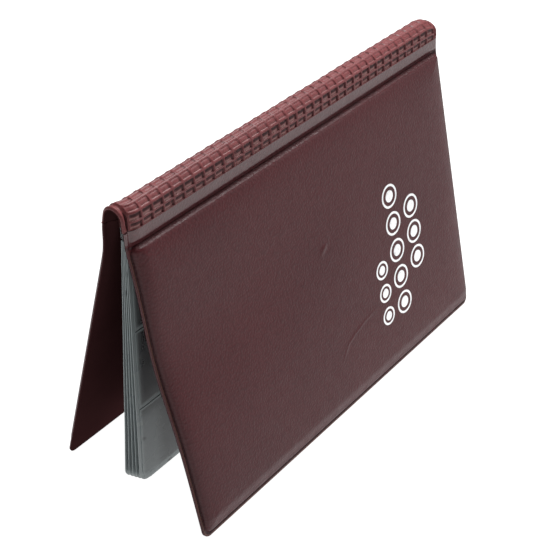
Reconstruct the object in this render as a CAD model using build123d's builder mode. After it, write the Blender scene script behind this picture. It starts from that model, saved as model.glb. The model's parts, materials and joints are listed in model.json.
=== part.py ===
from build123d import *

import os
from math import cos, radians, sin, tan

# A pocket album for coins, standing like a tent on the fore edges of its two covers, spine up.
# +X runs along the spine, the front cover flares towards -Y and the back cover towards +Y, +Z is up.
# The origin is on the floor, below the middle of the spine. All lengths are in millimetres.

# ---- driving dimensions: the case ----
cover_length = 140.0  # along the spine
cover_reach = 93.0  # from the hinge line to the fore edge
tent_angle = 14.5  # each cover's lean from the vertical, in degrees
corner_radius = 2.5  # corners of the covers at the fore edge
lining_sheet = 0.4  # smooth inner vinyl
skin_sheet = 0.5  # leatherette vinyl
board_thickness = 1.2
foam_thickness = 0.8

# ---- driving dimensions: the padded panel of a cover ----
weld_rim = 1.8  # flat welded border between the panel and the edge
panel_start = 1.9  # from the hinge line to the panel
panel_edge_radius = 1.4  # rounded edge of the panel
panel_corner_radius = 2.2  # corners of the panel, seen from outside
skin_wall = 0.7  # skin at the side of the panel
fit_gap = 0.05  # board and foam to the skin around them

# ---- driving dimensions: the spine ----
hinge_half_gap = 3.4  # from the middle plane to each hinge line
spine_skin_sheet = 0.6
spine_radius = 3.3  # outside of the crown
spine_height = 9.7  # crown above the hinge lines
spine_lean = 5.0  # each flank leans inwards by this, in degrees
hinge_clearance = 0.6  # between the cover's hinge bead and the flank above it
weave_inset = 1.9  # plain border at each end of the spine
weave_relief = 0.35  # the embossed band stands proud by this
weave_half_width = 2.9  # the band covers the crown to this far from the middle plane

# ---- driving dimensions: leaves and binding ----
leaf_count = 5
leaf_half_width = 68.7
leaf_reach = 85.0  # from the binding line to the front leaf's free edge
leaf_reach_step = 0.6  # each leaf hangs this much lower than the one in front of it
leaf_start = 0.3  # the leaf's sheet begins this far below the binding line
leaf_corner_radius = 4.5
backing_sheet = 0.18
pocket_sheet = 0.14
leaf_pitch = 0.42  # from leaf to leaf at the binding line
leaf_step_angle = 0.7  # fan between neighbours, in degrees
front_leaf_angle = -0.4  # the front leaf's lean towards the front cover, in degrees
pocket_rows = 3
row_gap = 0.4  # open slit between two rows of pockets
pocket_margin = 1.2  # bare backing round the pocket strips
binding_offset = -1.2  # the binding line lies on the front cover's side of the middle plane
binding_drop = 0.9  # the binding line lies below the hinge lines by this
margin_start = 1.3  # the bound margins begin this far above the binding line
margin_top = 7.4  # and end this far above it
strip_start = 4.4  # the binding strip begins this far above the binding line
strip_wall = 0.4

# ---- driving dimensions: the foil ornament on the front cover ----
foil_sheet = 0.08
coin_ring_width = 0.8
coin_disc_share = 0.5  # the disc inside each ring, as a share of the ring's radius
coin_columns = [  # x, first coin's distance from the hinge line, count, pitch and ring radius
    (42.0, 42.0, 3, 9.0, 3.9),
    (32.0, 34.0, 5, 9.4, 3.9),
    (23.0, 55.5, 3, 8.2, 3.1),
]

# ---- derived dimensions ----
lean = radians(tent_angle)
neck_half = (lining_sheet + skin_sheet) / 2  # half of the two welded sheets
hinge_height = cover_reach * cos(lean) + neck_half * sin(lean)
lining_outer = lining_sheet - neck_half  # where the lining ends and the board or skin begins
board_outer = lining_outer + board_thickness
foam_outer = board_outer + foam_thickness
panel_outer = foam_outer + skin_sheet
panel_length = cover_length - 2 * weld_rim
panel_reach = cover_reach - panel_start - weld_rim
panel_middle = -(panel_start + panel_reach / 2)
spine_bottom = hinge_height + neck_half + hinge_clearance
crown_height = hinge_height + spine_height
binding_height = hinge_height - binding_drop
leaf_thickness = backing_sheet + pocket_sheet
strip_half = (leaf_count - 1) * leaf_pitch / 2 + leaf_thickness / 2
middle_leaf = (leaf_count + 1) / 2

os.makedirs("parts", exist_ok=True)


def save(builder, name):
    """Labels a finished sub-part and writes its STEP file under the same name."""
    builder.part.label = name
    export_step(builder.part, f"parts/{name}.step")


def cover_plane(side):
    """The middle of a cover's neck: y up the cover to the hinge line at 0, z outwards."""
    return Plane(
        origin=(0, side * hinge_half_gap, hinge_height),
        x_dir=(-side, 0, 0),
        z_dir=(0, side * cos(lean), sin(lean)),
    )


def leaf_plane(number):
    """A leaf's middle sheet plane: y up the leaf to the binding line at 0, z towards the front cover."""
    angle = radians(front_leaf_angle - (number - 1) * leaf_step_angle)
    return Plane(
        origin=(0, binding_offset, binding_height),
        x_dir=(1, 0, 0),
        z_dir=(0, -cos(angle), sin(angle)),
    ).offset((middle_leaf - number) * leaf_pitch)


def cover_outline(inset=0.0):
    """Sheet outline of a cover, from the hinge line (less the inset) to the fore edge."""
    with BuildSketch(mode=Mode.PRIVATE) as outline:
        with Locations((0, -(cover_reach + inset) / 2)):
            Rectangle(cover_length, cover_reach - inset)
        fore_corners = outline.vertices().group_by(Axis.Y)[0]
        fillet(fore_corners, corner_radius)
    return outline.sketch


def panel_outline(inset):
    """The padded panel's outline, moved inwards by the inset."""
    with BuildSketch(mode=Mode.PRIVATE) as outline:
        with Locations((0, panel_middle)):
            RectangleRounded(
                panel_length - 2 * inset,
                panel_reach - 2 * inset,
                panel_corner_radius - inset,
            )
    return outline.sketch


def ornament_outline():
    """Foil outline on a cover's face: ringed discs, like coins, in three columns of uneven length."""
    with BuildSketch(mode=Mode.PRIVATE) as outline:
        for x, first, count, pitch, radius in coin_columns:
            with Locations(*[(x, -(first + row * pitch)) for row in range(count)]):
                Circle(radius)
                Circle(radius - coin_ring_width, mode=Mode.SUBTRACT)
                Circle(radius * coin_disc_share)
    return outline.sketch


# ---- covers ----
def make_cover(side, name, stamped):
    """Skin, padding, board and lining of one cover, and its foil ornament if it is stamped."""
    plane = cover_plane(side)
    cavity_inset = skin_wall
    soft_radius = panel_edge_radius - skin_wall

    # leatherette: a flat sheet with a hinge bead, and a raised panel, hollow for the board and foam
    with BuildPart() as skin:
        with BuildSketch(plane.offset(lining_outer)):
            add(cover_outline())
        extrude(amount=skin_sheet)
        with BuildSketch(plane.offset(lining_outer)):
            add(panel_outline(0))
        extrude(amount=panel_outer - lining_outer)
        panel_rim = skin.edges().group_by(Axis(plane.origin, plane.z_dir))[-1]
        fillet(panel_rim, panel_edge_radius)
        bead_plane = Plane(origin=plane.origin, x_dir=(0, 1, 0), z_dir=(1, 0, 0))
        with BuildSketch(bead_plane):
            Circle(neck_half)
        extrude(amount=cover_length / 2, both=True)
        with BuildSketch(plane.offset(lining_outer)):
            add(panel_outline(cavity_inset))
        extrude(amount=foam_outer - lining_outer, mode=Mode.SUBTRACT)
        if stamped:
            with BuildSketch(plane.offset(panel_outer - foil_sheet)):
                add(ornament_outline())
            extrude(amount=foil_sheet, mode=Mode.SUBTRACT)
    save(skin, f"{name}_cover_skin")

    # hot-stamped foil, pressed in flush with the panel
    if stamped:
        with BuildPart() as foil:
            with BuildSketch(plane.offset(panel_outer - foil_sheet)):
                add(ornament_outline())
            extrude(amount=foil_sheet)
        save(foil, "foil_ornament")

    with BuildPart() as padding:
        with BuildSketch(plane.offset(board_outer)):
            add(panel_outline(cavity_inset + fit_gap))
        extrude(amount=foam_thickness)
        foam_rim = padding.edges().group_by(Axis(plane.origin, plane.z_dir))[-1]
        fillet(foam_rim, soft_radius)
    save(padding, f"{name}_cover_padding")

    with BuildPart() as board:
        with BuildSketch(plane.offset(lining_outer)):
            add(panel_outline(cavity_inset + fit_gap))
        extrude(amount=board_thickness)
    save(board, f"{name}_cover_board")

    # the lining starts below the hinge bead
    with BuildPart() as lining:
        with BuildSketch(plane.offset(-neck_half)):
            add(cover_outline(inset=2 * neck_half))
        extrude(amount=lining_sheet)
    save(lining, f"{name}_cover_lining")


# ---- spine ----
def spine_section(depth):
    """The spine's arch, closed along its bottom, at a depth below its outer surface."""
    slope = radians(spine_lean)
    radius = spine_radius - depth
    centre = crown_height - spine_radius
    tangent_y = radius * cos(slope)
    tangent_z = centre + radius * sin(slope)
    foot_y = tangent_y + (tangent_z - spine_bottom) * tan(slope)
    with BuildSketch(mode=Mode.PRIVATE) as section:
        with BuildLine():
            Line((-foot_y, spine_bottom), (-tangent_y, tangent_z))
            ThreePointArc((-tangent_y, tangent_z), (0, centre + radius), (tangent_y, tangent_z))
            Line((tangent_y, tangent_z), (foot_y, spine_bottom))
            Line((foot_y, spine_bottom), (-foot_y, spine_bottom))
        make_face()
    return section.sketch


def make_spine():
    """Outer skin with its embossed band, and the lining inside it."""
    with BuildPart() as skin:
        with BuildSketch(Plane.YZ):
            add(spine_section(0))
            add(spine_section(spine_skin_sheet), mode=Mode.SUBTRACT)
        extrude(amount=cover_length / 2, both=True)
        with BuildSketch(Plane.YZ):
            add(spine_section(-weave_relief))
            with Locations((0, crown_height)):
                Rectangle(2 * weave_half_width, 2 * spine_radius, mode=Mode.INTERSECT)
            add(spine_section(spine_skin_sheet / 2), mode=Mode.SUBTRACT)
        extrude(amount=cover_length / 2 - weave_inset, both=True)
    save(skin, "spine_skin")

    with BuildPart() as lining:
        with BuildSketch(Plane.YZ):
            add(spine_section(spine_skin_sheet))
            add(spine_section(spine_skin_sheet + lining_sheet), mode=Mode.SUBTRACT)
        extrude(amount=cover_length / 2, both=True)
    save(lining, "spine_lining")


# ---- binding ----
def make_binding():
    """The channel under the crown, and the bound margins of the leaves inside it."""
    strip_bottom = binding_height + strip_start
    slot_top = binding_height + margin_top
    with BuildPart() as strip:
        with BuildSketch(Plane.YZ):
            add(spine_section(spine_skin_sheet + lining_sheet))
            with Locations((binding_offset, strip_bottom)):
                Rectangle(
                    2 * (strip_half + strip_wall),
                    2 * spine_height,
                    align=(Align.CENTER, Align.MIN),
                    mode=Mode.INTERSECT,
                )
            with Locations((binding_offset, slot_top)):
                Rectangle(
                    2 * strip_half,
                    2 * spine_height,
                    align=(Align.CENTER, Align.MAX),
                    mode=Mode.SUBTRACT,
                )
        extrude(amount=leaf_half_width, both=True)
    save(strip, "binding_strip")

    with BuildPart() as margins:
        for number in range(1, leaf_count + 1):
            offset_y = binding_offset - (middle_leaf - number) * leaf_pitch
            with BuildSketch(Plane.YZ):
                with Locations((offset_y, binding_height + margin_start)):
                    Rectangle(
                        leaf_thickness,
                        margin_top - margin_start,
                        align=(Align.CENTER, Align.MIN),
                    )
            extrude(amount=leaf_half_width, both=True)
    save(margins, "leaf_margins")


# ---- leaves ----
def make_leaf(number):
    """One clear leaf: a backing sheet and three strips of pockets on its front."""
    plane = leaf_plane(number)
    back_face = plane.offset(-leaf_thickness / 2)
    front_face = back_face.offset(backing_sheet)
    sheet_reach = leaf_reach + (number - 1) * leaf_reach_step - leaf_start

    with BuildPart() as backing:
        with BuildSketch(back_face) as outline:
            with Locations((0, -(leaf_start + sheet_reach / 2))):
                Rectangle(2 * leaf_half_width, sheet_reach)
            free_corners = outline.vertices().group_by(Axis.Y)[0]
            fillet(free_corners, leaf_corner_radius)
        extrude(amount=backing_sheet)
    save(backing, f"leaf_{number}_backing")

    row_pitch = (sheet_reach - 2 * pocket_margin + row_gap) / pocket_rows
    row_reach = row_pitch - row_gap
    for row in range(1, pocket_rows + 1):
        row_top = leaf_start + pocket_margin + (row - 1) * row_pitch
        with BuildPart() as pockets:
            with BuildSketch(front_face) as strip:
                with Locations((0, -(row_top + row_reach / 2))):
                    Rectangle(2 * (leaf_half_width - pocket_margin), row_reach)
                if row == pocket_rows:
                    free_corners = strip.vertices().group_by(Axis.Y)[0]
                    fillet(free_corners, leaf_corner_radius - pocket_margin)
            extrude(amount=pocket_sheet)
        save(pockets, f"leaf_{number}_pockets_{row}")


make_cover(-1, "front", stamped=True)
make_cover(1, "back", stamped=False)
make_spine()
make_binding()
for leaf_number in range(1, leaf_count + 1):
    make_leaf(leaf_number)
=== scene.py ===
"""Looks of a small pocket album for coins, standing like a tent on its two covers.

Lengths are in metres through MM. Each cover is described by a section in the plane across the spine:
s runs along the section, from the border of the weave (negative) over the fold to the fore edge.
"""

import json
import math

import bmesh
import bpy
import numpy as np
from mathutils import Matrix, Vector, noise


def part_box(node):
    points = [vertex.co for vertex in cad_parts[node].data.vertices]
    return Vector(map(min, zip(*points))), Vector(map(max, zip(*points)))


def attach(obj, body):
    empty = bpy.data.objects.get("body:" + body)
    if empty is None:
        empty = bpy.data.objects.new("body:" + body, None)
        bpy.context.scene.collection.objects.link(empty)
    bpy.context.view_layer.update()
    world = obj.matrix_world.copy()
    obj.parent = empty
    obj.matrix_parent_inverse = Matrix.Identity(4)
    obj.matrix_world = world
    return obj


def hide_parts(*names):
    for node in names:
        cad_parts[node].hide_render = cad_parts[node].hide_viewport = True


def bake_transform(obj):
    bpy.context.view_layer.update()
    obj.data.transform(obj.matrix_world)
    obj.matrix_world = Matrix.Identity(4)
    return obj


MM = 0.001

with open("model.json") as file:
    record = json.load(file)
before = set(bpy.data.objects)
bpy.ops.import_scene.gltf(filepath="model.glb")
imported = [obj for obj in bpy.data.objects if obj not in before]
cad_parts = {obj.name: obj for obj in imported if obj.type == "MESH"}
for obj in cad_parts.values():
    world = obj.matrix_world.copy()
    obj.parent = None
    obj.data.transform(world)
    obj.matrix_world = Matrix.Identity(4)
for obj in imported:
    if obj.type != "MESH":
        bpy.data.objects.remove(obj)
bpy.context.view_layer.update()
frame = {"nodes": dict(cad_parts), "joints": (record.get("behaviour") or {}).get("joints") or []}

# ---------------------------------------------------------------- sizes from the frame
JOINTS = {joint["name"]: joint for joint in frame["joints"]}
HINGE_Y = JOINTS["back_cover_hinge"]["pos_m"][1]
HINGE_Z = JOINTS["back_cover_hinge"]["pos_m"][2]
BINDING_Y = JOINTS["leaf_5_turn"]["pos_m"][1]
BINDING_Z = JOINTS["leaf_5_turn"]["pos_m"][2]
HALF_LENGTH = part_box("spine_skin")[1].x
LINING_SHEET = 0.40 * MM
SKIN_SHEET = 0.50 * MM
NECK_HALF = (LINING_SHEET + SKIN_SHEET) / 2
RIM = 1.05 * MM  # flat welded border at the panel's ends
RIM_END = 1.6 * MM  # the same at the fore edge
PANEL_TOP = 1.15 * MM  # from the hinge line to the panel
CORNER = 2.6 * MM
LEAF_COUNT = 5
NO_CORNER = -1.0  # far past the edge of a sheet whose corners on that side aren't round
FIRST_GUESS = math.radians(10)  # where the search for a lean starts
SEARCH_STEPS = 30


def cover_reach_and_lean():
    """A cover's length from its hinge line and its lean from the vertical.

    The box round the back lining touches two corners of its fore edge, the outermost and the lowest.
    """
    low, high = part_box("back_cover_lining")
    flat_y = high.y - HINGE_Y
    flat_z = HINGE_Z - low.z
    lean = FIRST_GUESS
    for _ in range(SEARCH_STEPS):
        reach = (flat_z - NECK_HALF * math.sin(lean)) / math.cos(lean)
        lean = math.asin((flat_y - lining_thickness_offset(lean)) / reach)
    return reach, lean


def lining_thickness_offset(lean):
    """How far the lining's outer face stands out from the middle of the neck, measured along Y."""
    return (LINING_SHEET - NECK_HALF) * math.cos(lean)


REACH, LEAN = cover_reach_and_lean()


# ---------------------------------------------------------------- camera
CAMERA_AZIMUTH = math.radians(-52.65)
CAMERA_ELEVATION = math.radians(37.08)
CAMERA_ROLL = math.radians(1.41)
CAMERA_LENS = 81.87
CAMERA_PLACE = Vector((-245.1, -183.0, 270.0)) * MM
SENSOR_WIDTH = 36.0
NEAREST_SEEN = 10 * MM


def make_camera():
    """The one camera, which looks down on the -X end and the front cover."""
    data = bpy.data.cameras.new("camera")
    data.lens = CAMERA_LENS
    data.sensor_width = SENSOR_WIDTH
    data.clip_start = NEAREST_SEEN
    camera = bpy.data.objects.new("camera", data)
    bpy.context.scene.collection.objects.link(camera)
    flat = math.cos(CAMERA_ELEVATION)
    back = Vector((
        math.sin(CAMERA_AZIMUTH) * flat,
        -math.cos(CAMERA_AZIMUTH) * flat,
        math.sin(CAMERA_ELEVATION),
    ))
    turn = back.to_track_quat("Z", "Y") @ Matrix.Rotation(CAMERA_ROLL, 3, "Z").to_quaternion()
    camera.location = CAMERA_PLACE
    camera.rotation_euler = turn.to_euler()
    bpy.context.scene.camera = camera


make_camera()


# ---------------------------------------------------------------- mesh helpers
SHARP_EDGE = math.radians(35)
SAME_POINT = 1e-7


def finish_mesh(name, verts, faces, body, material):
    """A closed mesh object from points and faces, smooth but for its sharp edges, riding on a body.

    A piece that reaches across two bodies is given None as its body and is attached to neither.
    """
    mesh = bpy.data.meshes.new(name)
    mesh.from_pydata([tuple(v) for v in verts], [], faces)
    mesh.validate()
    bm = bmesh.new()
    bm.from_mesh(mesh)
    bmesh.ops.remove_doubles(bm, verts=bm.verts, dist=SAME_POINT)
    bmesh.ops.recalc_face_normals(bm, faces=bm.faces)
    bm.to_mesh(mesh)
    bm.free()
    mesh.shade_smooth()
    mesh.set_sharp_from_angle(angle=SHARP_EDGE)
    piece = bpy.data.objects.new(name, mesh)
    bpy.context.scene.collection.objects.link(piece)
    mesh.materials.append(material)
    if body is not None:
        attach(piece, body)
    return piece


def grid_faces(rows, columns, first=0, flip=False):
    """Four-sided faces of a grid whose points are numbered row by row from the first."""
    faces = []
    for i in range(rows - 1):
        for j in range(columns - 1):
            a = first + i * columns + j
            quad = (a, a + 1, a + columns + 1, a + columns)
            faces.append(quad[::-1] if flip else quad)
    return faces


def border_indices(rows, columns):
    """Indices round a grid's border, in order."""
    top = list(range(columns))
    right = [i * columns + columns - 1 for i in range(1, rows)]
    bottom = [(rows - 1) * columns + j for j in range(columns - 2, -1, -1)]
    left = [i * columns for i in range(rows - 2, 0, -1)]
    return top + right + bottom + left


def shell_between(outer, inner):
    """Points and faces of the closed solid between two grids of the same shape."""
    rows, columns = outer.shape[:2]
    count = rows * columns
    verts = np.concatenate([outer.reshape(-1, 3), inner.reshape(-1, 3)])
    faces = grid_faces(rows, columns) + grid_faces(rows, columns, count, flip=True)
    ring = border_indices(rows, columns)
    for n, a in enumerate(ring):
        b = ring[(n + 1) % len(ring)]
        faces.append((a, a + count, b + count, b))
    return verts, faces


def lines(*stretches):
    """Grid lines from (start, end, number of steps) stretches, end to end."""
    parts = [np.linspace(start, end, steps, endpoint=False) for start, end, steps in stretches]
    return np.concatenate(parts + [[stretches[-1][1]]])


def smoothstep(low, high, value):
    """0 at low and beyond, 1 at high and beyond, with a smooth rise; low may be the larger one."""
    t = np.clip((value - low) / (high - low), 0, 1)
    return t * t * (3 - 2 * t)


def hill(value, middle, width):
    """A bell-shaped hill, 1 at its middle."""
    return np.exp(-(((value - middle) / width) ** 2))


def round_profile(distance, width):
    """0 at the edge, 1 beyond the width, shaped like a quarter of an ellipse."""
    t = np.clip(distance / width, 0, 1)
    return np.sqrt(1 - (1 - t) ** 2)


def field(x, y, scale, seed):
    """Smooth noise over a grid, about -1 to 1, with features of the given size in metres."""
    flat = np.stack([x.ravel() / scale, y.ravel() / scale], axis=1)
    values = [noise.noise(Vector((a, b, seed * 7.31))) for a, b in flat]
    return np.array(values).reshape(x.shape)


def inside_distance(x, y, half_x, low_y, high_y, corner):
    """Distance inwards from a rounded rectangle's outline, negative outside."""
    qx = np.abs(x) - (half_x - corner)
    qy = np.abs(y - (low_y + high_y) / 2) - ((high_y - low_y) / 2 - corner)
    outside = np.hypot(np.maximum(qx, 0), np.maximum(qy, 0))
    return corner - outside - np.minimum(np.maximum(qx, qy), 0)


def rounded_columns(x, y, half_x, end_y, corner, band):
    """x squeezed near the ends of a sheet so that its two corners at end_y are round."""
    into = np.clip(y - (end_y - corner), 0, corner)
    reach = half_x - corner + np.sqrt(np.maximum(corner**2 - into**2, 0))
    inner = half_x - band
    over = np.maximum(np.abs(x) - inner, 0)
    return np.sign(x) * np.where(over > 0, inner + over * (reach - inner) / band, np.abs(x))


# ---------------------------------------------------------------- the section of a cover
CROWN_R = 3.35 * MM
CROWN_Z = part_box("spine_skin")[1].z - 0.35 * MM  # crown below its embossed ridges
FOLD_ROUND = 1.0 * MM
FOLD_DROP = 0.75 * MM  # the visible fold lies this far below the hinge line
SEAM_RISE = 4.1 * MM  # from the fold to the weave's lower border


def fold_point():
    """The fold on the rim's outer face, as (distance out, height)."""
    z = HINGE_Z - FOLD_DROP
    rim_y = HINGE_Y + NECK_HALF * math.cos(LEAN)
    rim_z = HINGE_Z + NECK_HALF * math.sin(LEAN)
    return rim_y + (rim_z - z) * math.tan(LEAN), z


def flank_lean():
    """The lean of the straight flank from the fold to where it touches the crown's round."""
    lean = FIRST_GUESS
    for _ in range(SEARCH_STEPS):
        rise = CROWN_Z - CROWN_R + CROWN_R * math.sin(lean) - FOLD_Z
        lean = math.atan((FOLD_Y - CROWN_R * math.cos(lean)) / rise)
    return lean


FOLD_Y, FOLD_Z = fold_point()
FLANK_LEAN = flank_lean()
SEAM_Z = FOLD_Z + SEAM_RISE
FOLD_REACH = (HINGE_Z - FOLD_Z) / math.cos(LEAN) + NECK_HALF * math.tan(LEAN)
FLANK_REACH = SEAM_RISE / math.cos(FLANK_LEAN)
COVER_END = REACH - FOLD_REACH


def section(s):
    """(distance out, height, and the outward normal) of a cover's base line at s from the fold."""
    up = (-s + np.sqrt(s**2 + FOLD_ROUND**2)) / 2
    down = (s + np.sqrt(s**2 + FOLD_ROUND**2)) / 2
    y = FOLD_Y - up * math.sin(FLANK_LEAN) + down * math.sin(LEAN)
    z = FOLD_Z + up * math.cos(FLANK_LEAN) - down * math.cos(LEAN)
    share = (1 + s / np.sqrt(s**2 + FOLD_ROUND**2)) / 2
    angle = -FLANK_LEAN * (share - 1) + LEAN * share
    return y, z, np.cos(angle), np.sin(angle)


def placed(side, x, s, height):
    """Points of a cover at heights above its base line, on the -Y side or the +Y side."""
    y, z, out_y, out_z = section(s)
    return np.stack([x, side * (y + height * out_y), z + height * out_z], axis=-1)


def left_end(x):
    """1 at the -X end of the spine, 0 a few millimetres inside it."""
    return smoothstep(-HALF_LENGTH + 4.5 * MM, -HALF_LENGTH + 0.8 * MM, x)


END_SHIFT = 1.0 * MM  # the spine's -X end is pushed towards the back cover
BACK_SHARE = 1.3  # of the end shift, by which the back cover stands out next to the weave
FRONT_SHARE = 0.65  # of the end shift, by which the front cover is pulled in at the fold
BOW_DEPTH = 2.0 * MM
BOW_MIDDLE = 34 * MM  # below the fold
BOW_WIDTH = 20 * MM
DIP_DEPTH = 0.5 * MM
DIP_MIDDLE = 1.5 * MM  # from the spine's -X end
DIP_WIDTH = 0.6 * MM


def bow(side, x, s):
    """How far a cover stands out from its plane: the front one sags inwards towards its -X end."""
    if side > 0:
        return END_SHIFT * BACK_SHARE * left_end(x) * hill(s, -3 * MM, 6 * MM)
    end = END_SHIFT * FRONT_SHARE * left_end(x) * hill(np.maximum(s, 0), 0, 15 * MM)
    along = 1 - smoothstep(-HALF_LENGTH, 20 * MM, x)
    across = hill(s, BOW_MIDDLE, BOW_WIDTH) * smoothstep(-4 * MM, 3 * MM, s)
    return -end - BOW_DEPTH * along * across


def end_dip(x, s=0.0):
    """A dip just inside the -X end of the spine's front side, which fades out below the fold."""
    into = x + HALF_LENGTH
    return -DIP_DEPTH * hill(into, DIP_MIDDLE, DIP_WIDTH) * smoothstep(0.6 * MM, -0.8 * MM, s)


# The covers' grid is finer at their edges, along the fold, and where the handling marks are.
COVER_X = HALF_LENGTH / 70 * lines(
    (-70, -69, 9), (-69, -64, 22), (-64, -5, 42), (-5, 19, 84), (19, 64, 32), (64, 69, 18), (69, 70, 9)
)
COVER_S = lines(
    (-FLANK_REACH, -1.6 * MM, 12), (-1.6 * MM, 5 * MM, 44), (5 * MM, 30 * MM, 13),
    (30 * MM, 38 * MM, 16), (38 * MM, 62 * MM, 12), (62 * MM, 75 * MM, 38),
    (75 * MM, COVER_END - 7 * MM, 8), (COVER_END - 7 * MM, COVER_END - 0.8 * MM, 30),
    (COVER_END - 0.8 * MM, COVER_END, 8),
)
PADDING_INSET = 1.1 * MM  # inside the rim at the cover's ends
PADDING_FOOT = 2.8 * MM  # inside the rim at the fore edge
BOARD_INSET = 1.3 * MM
BOARD_FOOT = 3.1 * MM
BOARD_TOP = 1.2 * MM - SKIN_SHEET  # the board's outer face above the rim's
BOARD_SHEET = 1.17 * MM
CLEARANCE = 0.01 * MM  # between sheets that lie on each other
PANEL_STEP = 1.15 * MM  # the steep part of the panel's edge
EDGE_CROWN = 1.0 * MM  # the rounding next to it
WIDE_CROWN = 0.25 * MM  # the slow rise towards the middle
PANEL_CORNER = 1.8 * MM
SQUEEZED_BAND = 9 * MM  # grid columns this near the ends follow the round corners

CREASES = (  # corner points (x, s), width and height, all in mm
    (((-3.0, 74.6), (-1.3, 72.2), (1.5, 69.0), (5.6, 67.4), (11.3, 66.0), (18.0, 65.4)), 0.45, 0.20),
    (((-3.6, 36.0), (-2.0, 34.6), (0.2, 33.3)), 0.8, 0.26),
    (((-28.0, 58.8), (-21.0, 61.2)), 1.6, 0.08),
)


def crease(x, s, corners, width, height):
    """Height of one handling mark along its line: a thin ridge with a slight step across it."""
    line = [np.array(corner) * MM for corner in corners]
    lengths = [0.0] + list(np.cumsum([np.hypot(*(b - a)) for a, b in zip(line, line[1:])]))
    nearest = np.full_like(x, 1.0)
    fade = np.zeros_like(x)
    side = np.zeros_like(x)
    for a, b, start in zip(line, line[1:], lengths):
        d = b - a
        t = np.clip(((x - a[0]) * d[0] + (s - a[1]) * d[1]) / (d @ d), 0, 1)
        off = np.hypot(x - a[0] - t * d[0], s - a[1] - t * d[1])
        closer = off < nearest
        nearest = np.where(closer, off, nearest)
        along = (start + t * np.hypot(*d)) / lengths[-1]
        fade = np.where(closer, np.sin(np.pi * np.clip(along, 0.03, 0.97)), fade)
        side = np.where(closer, np.sign((x - a[0]) * d[1] - (s - a[1]) * d[0]), side)
    width = width * MM
    step = np.tanh(side * nearest / (width * 0.5)) * np.exp(-nearest / (width * 4))
    return height * MM * fade * (hill(nearest, 0, width) + 0.35 * step)


def creases(x, s):
    """Slight handling marks of the panel: a fine curved crease, a small pinch and a soft crease."""
    return sum(crease(x, s, *mark) for mark in CREASES)


def inside_panel(x, s):
    """Distance inwards from the foot of the padded panel, negative on the rim."""
    top = PANEL_TOP - FOLD_REACH
    return inside_distance(x, s, HALF_LENGTH - RIM, top, COVER_END - RIM_END, PANEL_CORNER)


def inside_sheet(x, s):
    """Distance inwards from a cover's outline, whose two corners at the fore edge are round."""
    return inside_distance(x, s, HALF_LENGTH, NO_CORNER, COVER_END, CORNER)


def panel_height(side, x, s):
    """Height of a cover's outer face above its rim: the padded panel with its soft rounded edges."""
    d = inside_panel(x, s)
    inside = np.maximum(d, 0)
    rise = PANEL_STEP * round_profile(d, 0.9 * MM)
    crown = EDGE_CROWN * (1 - np.exp(-inside / (2.9 * MM))) + WIDE_CROWN * (1 - np.exp(-inside / (14 * MM)))
    sag = 0.10 * MM * field(x, s, 34 * MM, 3 + side) * smoothstep(0, 10 * MM, d)
    marks = creases(x, s) if side < 0 else 0
    weld = -0.18 * MM * hill(d, -0.25 * MM, 0.30 * MM) * smoothstep(0, 3 * MM, s)
    foot = COVER_END - RIM_END
    thin = 1 - 0.45 * smoothstep(foot - 5 * MM, foot, s)
    return (rise + crown) * thin + sag * (d > 0) + marks * (d > 2 * MM) + weld


def edge_round(x, s, thickness):
    """Drop of the sheet's face at its rounded outer edge."""
    return thickness * (round_profile(inside_sheet(x, s), 0.35 * MM) - 1)


def fold_groove(x, s):
    """The pressed weld line along the fold, which fades out just before each end."""
    ends = smoothstep(HALF_LENGTH, HALF_LENGTH - 2.5 * MM, np.abs(x))
    return -0.65 * MM * ends * hill(s, 0.1 * MM, 0.7 * MM)


def painted_groove_shade(x, s):
    """Painted shade: 1 in the fold and along the weld line round the panel, reaching further out over the
    rim near the fore edge, which lies in the panel's shade, with a weaker band along the panel's ends for
    their shaded shoulders; 0 on open leatherette.
    """
    near_foot = smoothstep(COVER_END - 8 * MM, COVER_END - 3 * MM, s)
    middle = -(0.30 + 0.35 * near_foot) * MM
    below_fold = smoothstep(0, 3 * MM, s)
    # Painted shade in the weld line and the fold, and a weaker band of it along the panel's ends.
    weld = hill(inside_panel(x, s), middle, 0.36 * MM) * below_fold
    from_end = HALF_LENGTH - RIM - np.abs(x)
    painted_end_shade = 0.3 * smoothstep(3.6 * MM, 0.6 * MM, from_end) * below_fold
    fold = hill(s, 0.15 * MM, 0.42 * MM)
    return np.clip(weld + fold + painted_end_shade, 0, 1)


def pale_rim_line_share(x, s):
    """1 on a pale line along the rim, just inside the sheet's outer edge, which ends at the fold."""
    return hill(inside_sheet(x, s), 0.42 * MM, 0.14 * MM) * smoothstep(0, 5 * MM, s)


def place_key(point):
    """A point's place in whole tenths of a micrometre, to find it by."""
    return tuple(np.round(np.array(point) * 1e7).astype(int))


def mark_points(piece, name, values, verts):
    """Stores a value for each point, found again by place because doubles were merged."""
    from_place = {place_key(v): value for v, value in zip(verts, values)}
    attribute = piece.data.attributes.new(name, "FLOAT", "POINT")
    found = [from_place.get(place_key(v.co), 0.0) for v in piece.data.vertices]
    attribute.data.foreach_set("value", found)


def outer_only(values):
    """Values for both faces of a sheet, 0 all over the inner face."""
    return np.concatenate([values.ravel(), np.zeros(values.size)])


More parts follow.
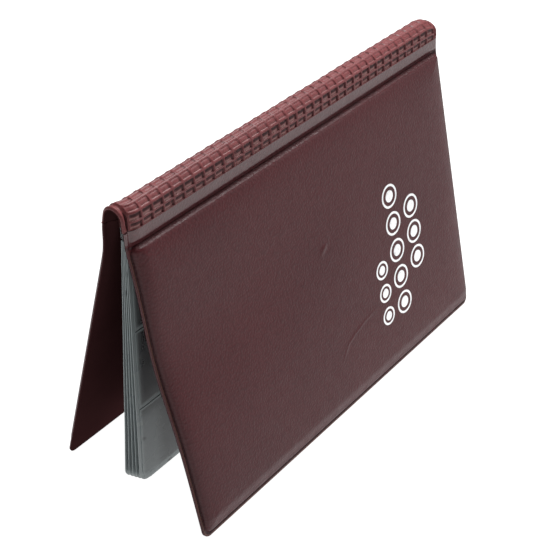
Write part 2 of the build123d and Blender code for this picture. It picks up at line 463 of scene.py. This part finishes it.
def make_skin(side, name, x, s, top, lift):
    """Outer sheet of a cover: the panel, its rim, the fold and the flank up to the weave."""
    height = top + lift + edge_round(x, s, 0.22 * MM) + fold_groove(x, s)
    if side < 0:
        height = height + end_dip(x, s)
    end = HALF_LENGTH - RIM - 0.4 * MM
    flat = inside_distance(x, s, end, 2 * MM, COVER_END - RIM_END - 0.4 * MM, MM)
    under = np.where(flat > 0, np.maximum(top - SKIN_SHEET, -SKIN_SHEET), -SKIN_SHEET)
    verts, faces = shell_between(placed(side, x, s, height), placed(side, x, s, under + lift))
    skin = finish_mesh(f"{name}_skin_looks", verts, faces, None, LEATHERETTE)
    skin.data.materials.append(LEATHERETTE_FLANK)
    for polygon in skin.data.polygons:
        polygon.material_index = int(polygon.center.z > FOLD_Z + 0.7 * MM)
    # Stored painted shade for the fold, the weld line and the panel's ends.
    mark_points(skin, "painted_shade_and_light", outer_only(painted_groove_shade(x, s)), verts)
    # A paler line stored along the rim, just inside its outer edge.
    mark_points(skin, "pale_rim_line", outer_only(pale_rim_line_share(x, s)), verts)
    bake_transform(skin)
    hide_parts(f"{name}_cover_skin")


def make_lining(side, name):
    """Smooth inner sheet, from inside the flank over the fold to the fore edge."""
    along = lines(
        (0.05 * MM - FLANK_REACH, -1.2 * MM, 8), (-1.2 * MM, 4 * MM, 22),
        (4 * MM, COVER_END - 3 * MM, 60), (COVER_END - 3 * MM, COVER_END, 14),
    )
    x, s = np.meshgrid(COVER_X, along, indexing="ij")
    x = rounded_columns(x, s, HALF_LENGTH, COVER_END, CORNER, SQUEEZED_BAND)
    lift = bow(side, x, s)
    wave = 0.05 * MM * field(x, s, 22 * MM, 11 + side) * smoothstep(2 * MM, 12 * MM, s)
    outer = placed(side, x, s, lift - SKIN_SHEET - CLEARANCE)
    under = lift + wave - SKIN_SHEET - LINING_SHEET - edge_round(x, s, 0.15 * MM)
    verts, faces = shell_between(outer, placed(side, x, s, under))
    lining = finish_mesh(f"{name}_lining_looks", verts, faces, None, LINING)
    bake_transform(lining)
    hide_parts(f"{name}_cover_lining")


def make_padding(side, name, x, s, top, lift):
    """Foam sheet between board and skin: crowned, closed, pinched down at its edges."""
    keep_x = np.abs(COVER_X) < HALF_LENGTH - RIM - PADDING_INSET
    keep_s = (COVER_S > 2.6 * MM) & (COVER_S < COVER_END - RIM_END - PADDING_FOOT)
    picked = np.ix_(keep_x, keep_s)
    x, s, lift = x[picked], s[picked], lift[picked]
    roof = np.maximum(top[picked] - SKIN_SHEET - 0.03 * MM, BOARD_TOP + 0.06 * MM)
    verts, faces = shell_between(placed(side, x, s, roof + lift), placed(side, x, s, BOARD_TOP + lift))
    padding = finish_mesh(f"{name}_padding_looks", verts, faces, f"{name}_cover", FOAM)
    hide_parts(f"{name}_cover_padding")


def make_board(side, name, x, s, lift):
    """Stiff board between the lining and the padding, which follows the cover's bow."""
    keep_x = np.abs(COVER_X) < HALF_LENGTH - RIM - BOARD_INSET
    keep_s = (COVER_S > 2.9 * MM) & (COVER_S < COVER_END - RIM_END - BOARD_FOOT)
    picked = np.ix_(keep_x, keep_s)
    x, s, lift = (values[picked][::4, ::3] for values in (x, s, lift))
    foot = lift + CLEARANCE - SKIN_SHEET
    verts, faces = shell_between(placed(side, x, s, foot + BOARD_SHEET), placed(side, x, s, foot))
    board = finish_mesh(f"{name}_board_looks", verts, faces, f"{name}_cover", BOARD)
    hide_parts(f"{name}_cover_board")


def make_cover(side, name):
    """Skin, lining, padding and board of the cover on the -Y side or the +Y side."""
    x, s = np.meshgrid(COVER_X, COVER_S, indexing="ij")
    x = rounded_columns(x, s, HALF_LENGTH, COVER_END, CORNER, SQUEEZED_BAND)
    lift = bow(side, x, s)
    top = panel_height(side, x, s)
    make_skin(side, name, x, s, top, lift)
    make_lining(side, name)
    make_padding(side, name, x, s, top, lift)
    make_board(side, name, x, s, lift)


# ---------------------------------------------------------------- the spine
WEAVE_COLUMNS = 35
WEAVE_ROWS = 7
WEAVE_END = 1.9 * MM  # plain border at each end
RIDGE = 0.34 * MM  # ridges of the weave above the flank's face
PIT = 0.58 * MM  # pits below the ridges
PIT_HALF_X = 0.87  # a pit's half size along the spine, as a share of its cell's
PIT_HALF_ROUND = 0.80  # the same round the spine
SPINE_WALL = 0.5 * MM
SPINE_LINING = 0.3 * MM
RIGHT_DROP = 1.9 * MM
LEFT_DROP = 0.5 * MM


def crown_drop(x):
    """The crown is rounded off at its ends, most of all at the +X end."""
    right = np.clip((x - HALF_LENGTH + 7 * MM) / (7 * MM), 0, 1) ** 2
    left = np.clip((-x - HALF_LENGTH + 3 * MM) / (3 * MM), 0, 1) ** 2
    return RIGHT_DROP * right + LEFT_DROP * left


def arch(x, share, height):
    """Points round the spine: share runs from -1 at the front seam over the crown to 1 at the back seam."""
    centre_z = CROWN_Z - CROWN_R
    tangent_z = centre_z + CROWN_R * math.sin(FLANK_LEAN)
    straight = (tangent_z - SEAM_Z) / math.cos(FLANK_LEAN)
    turn = (math.pi / 2 - FLANK_LEAN) * CROWN_R
    a = np.abs(share) * (straight + turn)
    on_turn = np.minimum(a, turn) / CROWN_R
    down = np.maximum(a - turn, 0)
    y = CROWN_R * np.sin(on_turn) + down * math.sin(FLANK_LEAN)
    z = centre_z + CROWN_R * np.cos(on_turn) - down * math.cos(FLANK_LEAN)
    back = 1 + (BACK_SHARE - 1) * smoothstep(0.4, 1.0, share)
    y = np.sign(share) * (y + height * np.sin(on_turn)) + END_SHIFT * left_end(x) * back
    z = z + height * np.cos(on_turn)
    z = z - crown_drop(x) * np.clip((z - SEAM_Z) / (CROWN_Z - SEAM_Z), 0, 1.1)
    return np.stack([x, y, z], axis=-1)


def weave_relief(x, share):
    """Height of the embossed lattice, and its painted tone: 1 for painted shadow under the pits' upper and
    right walls and along the weave's lower border, -1 for painted light on the lit floors of the flank's
    pits.
    """
    half = HALF_LENGTH - WEAVE_END
    u = (((x / half + 1) / 2 * WEAVE_COLUMNS) % 1) * 2 - 1
    v = (((share + 1) / 2 * WEAVE_ROWS) % 1) * 2 - 1
    into_u = PIT_HALF_X - np.abs(u)
    into_v = PIT_HALF_ROUND - np.abs(v)
    pit = smoothstep(0, 0.14, into_u) * smoothstep(0, 0.24, into_v)
    pillow = 0.45 * (1 - u**2) * (1 - v**2)
    inside = smoothstep(half + 0.1 * MM, half - 0.2 * MM, np.abs(x))
    border = smoothstep(1.0, 0.975, np.abs(share))
    crown_depth = 1 - 0.5 * smoothstep(0.5, 0.3, np.abs(share))
    height = (RIDGE - PIT * crown_depth * pit * (1 - pillow)) * inside * border

    # Painted light and shade, as lit from above, behind and the right: shadow in each pit under its upper
    # and right walls, light on the rest of a flank pit's floor.
    in_pit = smoothstep(0, 0.10, into_u) * smoothstep(0, 0.18, into_v)
    on_flank = smoothstep(0.30, 0.48, np.abs(share))
    painted_upper_shadow = smoothstep(-0.30, 0.10, v * -np.sign(share)) * on_flank
    painted_right_shadow = smoothstep(0.42, 0.66, u) * (0.5 + 0.5 * on_flank)
    shade = in_pit * np.maximum(painted_upper_shadow, painted_right_shadow)
    light = in_pit * (1 - shade) * on_flank * smoothstep(0, 0.3, into_v)
    # A painted shadow line where the weave stands proud of the flank.
    seam = smoothstep(0.965, 0.99, np.abs(share))
    tone = (shade - 0.8 * light) * inside * border + 0.8 * seam
    return height, np.clip(tone, -1, 1)


def end_lip(x):
    """Rolled, welded edge at each end of the spine, with a shallow valley inside it."""
    into = HALF_LENGTH - np.abs(x)
    lip = hill(into, 0.45 * MM, 0.35 * MM) - hill(into, 1.35 * MM, 0.4 * MM)
    edge = round_profile(into, 0.4 * MM) - 1
    return 0.22 * MM * lip + 0.4 * MM * edge


def make_spine_skin():
    """The arch with its woven relief and its rolled ends."""
    woven = HALF_LENGTH - WEAVE_END + 0.2 * MM
    xs = lines((-HALF_LENGTH, -woven, 12), (-woven, woven, WEAVE_COLUMNS * 13), (woven, HALF_LENGTH, 12))
    shares = lines((-1.0, -0.96, 3), (-0.96, 0.96, WEAVE_ROWS * 12), (0.96, 1.0, 3))
    x, share = np.meshgrid(xs, shares, indexing="ij")
    height, tone = weave_relief(x, share)
    wobble = 0.10 * MM * field(x, share * 8 * MM, 13 * MM, 5) * smoothstep(1, 0.8, np.abs(share))
    lip = end_lip(x) * smoothstep(1.0, 0.82, np.abs(share))
    dip = end_dip(x) * smoothstep(0.1, 0.6, -share)
    outer = arch(x, share, height + wobble + lip + dip)
    verts, faces = shell_between(outer, arch(x, share, -SPINE_WALL))
    skin = finish_mesh("spine_skin_looks", verts, faces, "spine", LEATHERETTE_WEAVE)
    # Stored painted shadow and light of the weave's pits.
    mark_points(skin, "painted_shade_and_light", outer_only(tone), verts)
    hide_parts("spine_skin")


def make_spine_lining():
    """Smooth sheet inside the arch."""
    xs = lines((-HALF_LENGTH, HALF_LENGTH, 120))
    x, share = np.meshgrid(xs, lines((-1.0, 1.0, 60)), indexing="ij")
    verts, faces = shell_between(
        arch(x, share, -SPINE_WALL - CLEARANCE), arch(x, share, -SPINE_WALL - SPINE_LINING)
    )
    lining = finish_mesh("spine_lining_looks", verts, faces, "spine", LINING)
    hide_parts("spine_lining")


# ---------------------------------------------------------------- the leaves
LEAF_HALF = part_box("leaf_1_backing")[1].x
LEAF_TOP = -0.6 * MM
LEAF_CORNER = 4.5 * MM
LEAF_PITCH = 0.42 * MM
BACKING = 0.18 * MM
POCKET = 0.14 * MM
FRONT_LEAF_LEAN = math.radians(-0.4)
LEAF_STEP = math.radians(0.7)
POCKET_ROWS = 3
POCKET_COLUMNS = 4
POCKET_MARGIN = 1.2 * MM
ROW_GAP = 0.4 * MM
SEAM_MIDDLE = 0.9 * MM  # a welded seam's middle, from the line between two pockets
SEAM_WIDTH = 0.35 * MM
SEAM_DEPTH = 0.05 * MM
PUFF = 0.05 * MM  # how far an empty pocket stands off its backing


def leaf_lean(number):
    """A leaf's lean from the vertical: they fan out towards the back cover."""
    return FRONT_LEAF_LEAN - (number - 1) * LEAF_STEP


def leaf_reach(number):
    """From the binding line to a leaf's free edge."""
    return (BINDING_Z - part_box(f"leaf_{number}_backing")[0].z) / math.cos(leaf_lean(number))


def leaf_points(number, x, t, height):
    """Points of a leaf: t down from the binding line, height towards the front cover from its middle."""
    angle = leaf_lean(number)
    offset = ((LEAF_COUNT + 1) / 2 - number) * LEAF_PITCH + height
    y = BINDING_Y - offset * math.cos(angle) - t * math.sin(angle)
    z = BINDING_Z + offset * math.sin(angle) - t * math.cos(angle)
    return np.stack([x, y, z], axis=-1)


def leaf_wave(x, t):
    """A slight waviness that grows towards the free edge."""
    return 0.16 * MM * field(x, t, 26 * MM, 20) * smoothstep(8 * MM, 60 * MM, t)


def make_leaf(number):
    """A leaf's backing sheet and its three strips of pockets."""
    reach = leaf_reach(number)
    body = f"leaf_{number}"
    inner = LEAF_HALF - 6 * MM
    x_lines = lines((-LEAF_HALF, -inner, 16), (-inner, inner, 96), (inner, LEAF_HALF, 16))
    t_lines = lines((LEAF_TOP, reach - 6 * MM, 50), (reach - 6 * MM, reach, 14))
    x, t = np.meshgrid(x_lines, t_lines, indexing="ij")
    x = rounded_columns(x, t, LEAF_HALF, reach, LEAF_CORNER, 12 * MM)
    low = leaf_wave(x, t) - (BACKING + POCKET) / 2
    verts, faces = shell_between(leaf_points(number, x, t, low + BACKING), leaf_points(number, x, t, low))
    backing = finish_mesh(f"{body}_backing_looks", verts, faces, body, CLEAR_VINYL)
    edge = inside_distance(x, t, LEAF_HALF, NO_CORNER, reach, LEAF_CORNER)
    mark_points(backing, "weld", np.tile(smoothstep(1.5 * MM, 1.0 * MM, edge).ravel(), 2), verts)
    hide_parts(f"{body}_backing")

    pitch = (reach - 2 * POCKET_MARGIN + ROW_GAP) / POCKET_ROWS
    for row in range(POCKET_ROWS):
        make_pockets(number, row, POCKET_MARGIN + row * pitch, pitch - ROW_GAP)


def milk_and_painted_light(t, to_seam, foot, start):
    """1 on the milky seams and the pockets' upper hem, and a painted light low on the leaf, strongest near
    the seams.
    """
    seams = np.maximum(smoothstep(1.3 * MM, 0.7 * MM, to_seam), smoothstep(1.3 * MM, 0.7 * MM, foot))
    hem = smoothstep(0.8 * MM, 0.5 * MM, t - start)
    near_seam = smoothstep(8 * MM, 3 * MM, to_seam - 2 * MM)
    # Painted light and sheen low on the leaf, the part that faces the light.
    low = 0.38 * smoothstep(56 * MM, 62 * MM, t) * near_seam + 0.20 * smoothstep(50 * MM, 60 * MM, t)
    return np.maximum(np.maximum(seams, hem), low)


def make_pockets(number, row, start, reach):
    """One strip of four pockets: welded at its ends, its foot and between pockets, open at its top."""
    half = LEAF_HALF - POCKET_MARGIN
    end = start + reach
    x_lines = lines((-half, half, POCKET_COLUMNS * 30))
    t_lines = lines((start, start + 2 * MM, 6), (start + 2 * MM, end - 4 * MM, 20), (end - 4 * MM, end, 12))
    x, t = np.meshgrid(x_lines, t_lines, indexing="ij")
    if row == POCKET_ROWS - 1:
        x = rounded_columns(x, t, half, end, LEAF_CORNER - POCKET_MARGIN, 10 * MM)
    place = (x / half + 1) / 2 * POCKET_COLUMNS
    to_seam = np.abs(place - np.round(place)) / POCKET_COLUMNS * 2 * half
    foot = end - t
    puff = smoothstep(0.8 * MM, 6 * MM, to_seam) * smoothstep(0.8 * MM, 6 * MM, foot)
    weld = hill(to_seam, SEAM_MIDDLE, SEAM_WIDTH) + hill(foot, SEAM_MIDDLE, SEAM_WIDTH)
    room = smoothstep(4 * MM, 40 * MM, t)
    face = (BACKING - POCKET) / 2 + leaf_wave(x, t) + 0.012 * MM
    lift = PUFF * puff * room - SEAM_DEPTH * np.clip(weld, 0, 1)
    top = leaf_points(number, x, t, face + POCKET + lift)
    bottom = leaf_points(number, x, t, face + np.maximum(lift, 0))
    verts, faces = shell_between(top, bottom)
    body = f"leaf_{number}"
    node = f"{body}_pockets_{row + 1}"
    strip = finish_mesh(f"{node}_looks", verts, faces, body, CLEAR_VINYL)
    # Stored milkiness of the welds, with the painted light low on the leaf.
    mark_points(strip, "weld", np.tile(milk_and_painted_light(t, to_seam, foot, start).ravel(), 2), verts)
    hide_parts(node)


# ---------------------------------------------------------------- the foil ornament
COIN_COLUMNS = (  # x, first coin's distance from the hinge line, count, pitch, ring radius, in mm
    (42.0, 42.0, 3, 9.0, 3.9),
    (32.0, 34.0, 5, 9.4, 3.9),
    (23.0, 55.5, 3, 8.2, 3.1),
)
RING_WIDTH = 0.8 * MM
DISC_SHARE = 0.5
FOIL_PROUD = 0.05 * MM
FOIL_SUNK = -0.02 * MM
RING_STEPS = 64
DISC_HOLE = 0.1 * MM  # radius of the flat face that closes a disc's middle


def foil_points(plan):
    """Plan points (x, distance from the hinge) and heights laid on the front cover's panel."""
    x, s, height = plan[:, 0], plan[:, 1] - FOLD_REACH, plan[:, 2]
    base = panel_height(-1, x, s) + bow(-1, x, s)
    return placed(-1, x, s, base + height)


def ring_mesh(x, s, outer, inner, verts, faces):
    """Adds a flat ring or, where inner is 0, a disc of foil with a slightly rounded edge."""
    solid = inner == 0
    inner = max(inner, DISC_HOLE)
    flat = np.linspace(outer - 0.1 * MM, inner + 0.1 * MM, 4)
    radii = [outer, outer - 0.08 * MM, *flat]
    heights = [FOIL_SUNK, FOIL_PROUD * 0.8] + [FOIL_PROUD] * len(flat)
    if solid:
        radii += [inner + 0.02 * MM, inner]
        heights += [FOIL_PROUD, FOIL_PROUD]
    else:
        radii += [inner + 0.08 * MM, inner]
        heights += [FOIL_PROUD * 0.8, FOIL_SUNK]
    first = len(verts)
    for radius, height in zip(radii, heights):
        for k in range(RING_STEPS):
            a = 2 * math.pi * k / RING_STEPS
            verts.append((x + radius * math.cos(a), s + radius * math.sin(a), height))
    for r in range(len(radii) - 1):
        for k in range(RING_STEPS):
            a = first + r * RING_STEPS + k
            b = first + r * RING_STEPS + (k + 1) % RING_STEPS
            faces.append((a, b, b + RING_STEPS, a + RING_STEPS))
    last = first + (len(radii) - 1) * RING_STEPS
    if solid:
        faces.append(list(range(last, last + RING_STEPS)))
        faces.append(list(range(first + RING_STEPS - 1, first - 1, -1)))
        return
    for k in range(RING_STEPS):
        after = (k + 1) % RING_STEPS
        faces.append((first + after, first + k, last + k, last + after))


def make_ornament():
    """Three columns of ringed discs, hot-stamped on the front cover."""
    verts, faces = [], []
    for x, first, count, pitch, radius in COIN_COLUMNS:
        for row in range(count):
            place = (first + row * pitch) * MM
            ring_mesh(x * MM, place, radius * MM, radius * MM - RING_WIDTH, verts, faces)
            ring_mesh(x * MM, place, radius * DISC_SHARE * MM, 0, verts, faces)
    points = foil_points(np.array(verts))
    foil = finish_mesh("foil_ornament_looks", points, faces, "front_cover", FOIL)
    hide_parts("foil_ornament")


# ---------------------------------------------------------------- materials
def node_material(name):
    """A new material, its node tree and its one shader."""
    material = bpy.data.materials.new(name)
    material.use_nodes = True
    tree = material.node_tree
    shader = tree.nodes["Principled BSDF"]
    return material, tree, shader


def link(tree, source, target):
    """Joins an output socket to an input socket."""
    tree.links.new(source, target)


def object_place(tree):
    """The place on the object, in metres."""
    return tree.nodes.new("ShaderNodeTexCoord").outputs["Object"]


def noise_node(tree, place, scale, detail=3.0, roughness=0.55):
    """Smooth noise, about 0.3 to 0.7, with this many features in a metre."""
    node = tree.nodes.new("ShaderNodeTexNoise")
    node.inputs["Scale"].default_value = scale
    node.inputs["Detail"].default_value = detail
    node.inputs["Roughness"].default_value = roughness
    link(tree, place, node.inputs["Vector"])
    return node.outputs["Fac"]


def ramp(tree, value, stops):
    """A colour that runs through the stops, (position, colour), with the value."""
    node = tree.nodes.new("ShaderNodeValToRGB")
    while len(node.color_ramp.elements) < len(stops):
        node.color_ramp.elements.new(0.5)
    for element, (position, colour) in zip(node.color_ramp.elements, stops):
        element.position = position
        element.color = (*colour, 1)
    link(tree, value, node.inputs["Fac"])
    return node.outputs["Color"]


def map_range(tree, value, low, high, to_low, to_high):
    """The value rescaled from one range to another, and kept inside it."""
    node = tree.nodes.new("ShaderNodeMapRange")
    for socket, number in zip(("From Min", "From Max", "To Min", "To Max"), (low, high, to_low, to_high)):
        node.inputs[socket].default_value = number
    link(tree, value, node.inputs["Value"])
    return node.outputs["Result"]


def mix_colour(tree, share, first, second, mode="MIX"):
    """Mixes two colours; each of the share and the colours is a plain value or a socket."""
    node = tree.nodes.new("ShaderNodeMix")
    node.data_type = "RGBA"
    node.blend_type = mode
    sockets = {s.identifier: s for s in node.inputs}
    for key, value in (("Factor_Float", share), ("A_Color", first), ("B_Color", second)):
        if isinstance(value, (int, float)):
            sockets[key].default_value = value
        elif isinstance(value, tuple):
            sockets[key].default_value = (*value, 1)
        else:
            link(tree, value, sockets[key])
    return {s.identifier: s for s in node.outputs}["Result_Color"]


def point_value(tree, name):
    """The value that the mesh stores for each point under this name."""
    node = tree.nodes.new("ShaderNodeAttribute")
    node.attribute_name = name
    return node.outputs["Fac"]


def bump(tree, height, strength, distance, normal=None):
    """A shading normal with a fine relief, on top of another one where it is given."""
    node = tree.nodes.new("ShaderNodeBump")
    node.inputs["Strength"].default_value = strength
    node.inputs["Distance"].default_value = distance
    link(tree, height, node.inputs["Height"])
    if normal is not None:
        link(tree, normal, node.inputs["Normal"])
    return node.outputs["Normal"]


PANEL_TONES = ((0.067, 0.0085, 0.012), (0.082, 0.012, 0.0155))
# The weave is the panel's own vinyl, its tones painted lighter to stand in for the overhead light on the
# crown.
WEAVE_TONES_PAINTED_LIGHTER = ((0.140, 0.033, 0.035), (0.178, 0.046, 0.048))
PAINTED_SHADE_TONE = (0.026, 0.004, 0.005)
LIT_FLOOR_TONE = (0.330, 0.190, 0.175)
PALE_RIM_LINE_TONE = (0.26, 0.13, 0.09)
GRAIN_SCALE = 1500  # cells of the grain in a metre


def leatherette(name, weave, gloss=0.26, rough=(0.40, 0.50)):
    """Vinyl with an embossed leather grain: burgundy and satin, painted darker and duller in its grooves
    and fold as their shade, and on the weave painted with shadow and light in its pits.
    """
    material, tree, shader = node_material(name)
    place = object_place(tree)
    cells = tree.nodes.new("ShaderNodeTexVoronoi")
    cells.feature = "SMOOTH_F1"
    cells.inputs["Scale"].default_value = GRAIN_SCALE
    cells.inputs["Smoothness"].default_value = 0.5
    link(tree, place, cells.inputs["Vector"])
    fine = noise_node(tree, place, 2600, 2)
    broad = noise_node(tree, place, 420, 3)
    patches = noise_node(tree, place, 26, 4, 0.6)
    painted_shade_and_light = point_value(tree, "painted_shade_and_light")

    darker, lighter = WEAVE_TONES_PAINTED_LIGHTER if weave else PANEL_TONES
    colour = ramp(tree, patches, [(0.3, darker), (0.7, lighter)])
    grain_tone = map_range(tree, cells.outputs["Distance"], 0.0, 0.75, 1.10, 0.80)
    colour = mix_colour(tree, 1.0, colour, grain_tone, "MULTIPLY")
    # Painted shade in the grooves, the fold and on the pits' shaded walls.
    colour = mix_colour(tree, map_range(tree, painted_shade_and_light, 0, 1, 0, 0.9), colour, PAINTED_SHADE_TONE)
    if weave:
        # Painted light on the lit floors of the weave's pits.
        colour = mix_colour(tree, map_range(tree, painted_shade_and_light, -1, 0, 0.75, 0), colour, LIT_FLOOR_TONE)
    else:
        # A paler line along the rim, just inside its outer edge.
        pale_rim_line = map_range(tree, point_value(tree, "pale_rim_line"), 0, 1, 0, 0.55)
        colour = mix_colour(tree, pale_rim_line, colour, PALE_RIM_LINE_TONE)
    link(tree, colour, shader.inputs["Base Color"])

    link(tree, map_range(tree, broad, 0.3, 0.7, *rough), shader.inputs["Roughness"])
    shader.inputs["Specular IOR Level"].default_value = gloss
    grain = bump(tree, cells.outputs["Distance"], 0.2 if weave else 0.6, 0.14 * MM)
    grain = bump(tree, fine, 0.25, 0.07 * MM, grain)
    grain = bump(tree, broad, 0.16, 0.3 * MM, grain)
    link(tree, grain, shader.inputs["Normal"])
    return material


def smooth_vinyl():
    """Smooth inner lining, dark maroon painted nearly black to stand in for the shade inside the covers,
    with faint cloudiness.
    """
    material, tree, shader = node_material("lining_vinyl")
    place = object_place(tree)
    patches = noise_node(tree, place, 40, 3)
    # Painted shade: near-black tones for the lining, which lies in the shade inside the tent.
    colour = ramp(tree, patches, [(0.3, (0.034, 0.0125, 0.0132)), (0.7, (0.044, 0.0165, 0.0172))])
    link(tree, colour, shader.inputs["Base Color"])
    link(tree, map_range(tree, patches, 0.3, 0.7, 0.50, 0.60), shader.inputs["Roughness"])
    link(tree, bump(tree, noise_node(tree, place, 900, 2), 0.1, 0.08 * MM), shader.inputs["Normal"])
    shader.inputs["Specular IOR Level"].default_value = 0.0
    return material


def clear_vinyl():
    """Clear soft sheet, slightly grey, milky where it is thick or welded, and painted paler low on the
    leaves.
    """
    material, tree, shader = node_material("clear_sheet")
    place = object_place(tree)
    haze = noise_node(tree, place, 60, 3)
    weld = point_value(tree, "weld")
    colour = ramp(tree, haze, [(0.3, (0.060, 0.062, 0.066)), (0.7, (0.085, 0.088, 0.092))])
    # Milky welds, and the painted light low on the leaves, by the stored value.
    colour = mix_colour(tree, weld, colour, (0.28, 0.318, 0.322))
    link(tree, colour, shader.inputs["Base Color"])
    link(tree, map_range(tree, haze, 0.3, 0.7, 0.22, 0.34), shader.inputs["Roughness"])
    link(tree, bump(tree, noise_node(tree, place, 90, 1), 0.08, 0.5 * MM), shader.inputs["Normal"])
    link(tree, map_range(tree, weld, 0, 1, 0.85, 0.95), shader.inputs["Alpha"])
    shader.inputs["Specular IOR Level"].default_value = 0.3
    material.surface_render_method = "BLENDED"
    return material


def silver_foil():
    """Thin stamped metal foil, slightly worn and brushed."""
    material, tree, shader = node_material("silver_foil")
    place = object_place(tree)
    worn = noise_node(tree, place, 700, 4, 0.7)
    colour = ramp(tree, worn, [(0.28, (0.62, 0.61, 0.61)), (0.45, (0.90, 0.90, 0.91))])
    link(tree, colour, shader.inputs["Base Color"])
    shader.inputs["Metallic"].default_value = 0.85
    link(tree, map_range(tree, worn, 0.3, 0.7, 0.46, 0.34), shader.inputs["Roughness"])
    link(tree, bump(tree, noise_node(tree, place, 1500, 2), 0.25, 0.1 * MM), shader.inputs["Normal"])
    return material


def soft_foam():
    """Cream foam with fine open cells."""
    material, tree, shader = node_material("foam")
    cells = noise_node(tree, object_place(tree), 1800, 3)
    colour = ramp(tree, cells, [(0.3, (0.62, 0.60, 0.54)), (0.7, (0.74, 0.72, 0.66))])
    link(tree, colour, shader.inputs["Base Color"])
    shader.inputs["Roughness"].default_value = 0.95
    link(tree, bump(tree, cells, 0.4, 0.2 * MM), shader.inputs["Normal"])
    return material


def grey_board():
    """Grey board with faint fibres."""
    material, tree, shader = node_material("grey_board")
    fibres = noise_node(tree, object_place(tree), 500, 5, 0.7)
    colour = ramp(tree, fibres, [(0.3, (0.22, 0.20, 0.18)), (0.7, (0.30, 0.28, 0.25))])
    link(tree, colour, shader.inputs["Base Color"])
    shader.inputs["Roughness"].default_value = 0.9
    link(tree, bump(tree, fibres, 0.3, 0.1 * MM), shader.inputs["Normal"])
    return material


def floor_material():
    """A pale sheet that glows softly, so that it and the far background are one even white."""
    material, tree, shader = node_material("floor")
    tone = noise_node(tree, object_place(tree), 3, 2)
    colour = ramp(tree, tone, [(0.3, (0.19, 0.19, 0.19)), (0.7, (0.21, 0.21, 0.21))])
    link(tree, colour, shader.inputs["Base Color"])
    shader.inputs["Roughness"].default_value = 0.9
    shader.inputs["Specular IOR Level"].default_value = 0.0
    shader.inputs["Emission Color"].default_value = (1, 1, 1, 1)
    shader.inputs["Emission Strength"].default_value = 1.0
    return material


LEATHERETTE = leatherette("leatherette", weave=False)
# The weave's material, painted lighter than the panel's.
LEATHERETTE_WEAVE = leatherette("leatherette_weave", weave=True, gloss=0.21)
LEATHERETTE_FLANK = leatherette("leatherette_flank", weave=False, gloss=0.8, rough=(0.32, 0.40))
LINING = smooth_vinyl()
CLEAR_VINYL = clear_vinyl()
FOIL = silver_foil()
FOAM = soft_foam()
BOARD = grey_board()


# ---------------------------------------------------------------- floor and light
FLOOR_SIZE = 6.0
WORLD_STRENGTH = 0.22
SOFTBOXES = (  # name, place, aim, width and height, power
    ("top_softbox", (0.24, 0.10, 0.60), (0, 0, 0.06), (0.34, 0.34), 6.4),
    ("front_softbox", (0.46, -0.42, 0.36), (0, 0, 0.08), (0.34, 0.22), 1.0),
)


def make_floor():
    """The sheet that the album stands on."""
    bpy.ops.mesh.primitive_grid_add(
        x_subdivisions=8, y_subdivisions=8, size=FLOOR_SIZE, location=(0, 0, 0)
    )
    floor = bpy.context.active_object
    floor.name = "floor"
    floor.data.materials.append(floor_material())


def make_softbox(name, place, target, size, power):
    """A rectangular lamp turned towards its target."""
    data = bpy.data.lights.new(name, "AREA")
    data.shape = "RECTANGLE"
    data.size, data.size_y = size
    data.energy = power
    light = bpy.data.objects.new(name, data)
    bpy.context.scene.collection.objects.link(light)
    light.location = place
    aim = Vector(target) - Vector(place)
    light.rotation_euler = aim.to_track_quat("-Z", "Y").to_euler()


def make_light():
    """An even white world and two softboxes."""
    world = bpy.data.worlds.new("studio")
    bpy.context.scene.world = world
    world.use_nodes = True
    background = world.node_tree.nodes["Background"]
    background.inputs["Color"].default_value = (1, 1, 1, 1)
    background.inputs["Strength"].default_value = WORLD_STRENGTH
    for softbox in SOFTBOXES:
        make_softbox(*softbox)


# ---------------------------------------------------------------- the album, its floor and its light
make_cover(-1, "front")
make_cover(1, "back")
make_spine_skin()
make_spine_lining()
for leaf_number in range(1, LEAF_COUNT + 1):
    make_leaf(leaf_number)
make_ornament()
# The binding strip, clear vinyl in the album, is given the near-black lining as painted shade, for it lies
# in the shadow inside the spine.
for kept_node, kept_material in (("binding_strip", LINING), ("leaf_margins", CLEAR_VINYL)):
    frame["nodes"][kept_node].data.materials.clear()
    frame["nodes"][kept_node].data.materials.append(kept_material)

make_floor()
make_light()
scene = bpy.context.scene
scene.view_settings.view_transform = "Standard"
scene.cycles.transparent_max_bounces = 32
scene.cycles.max_bounces = 12
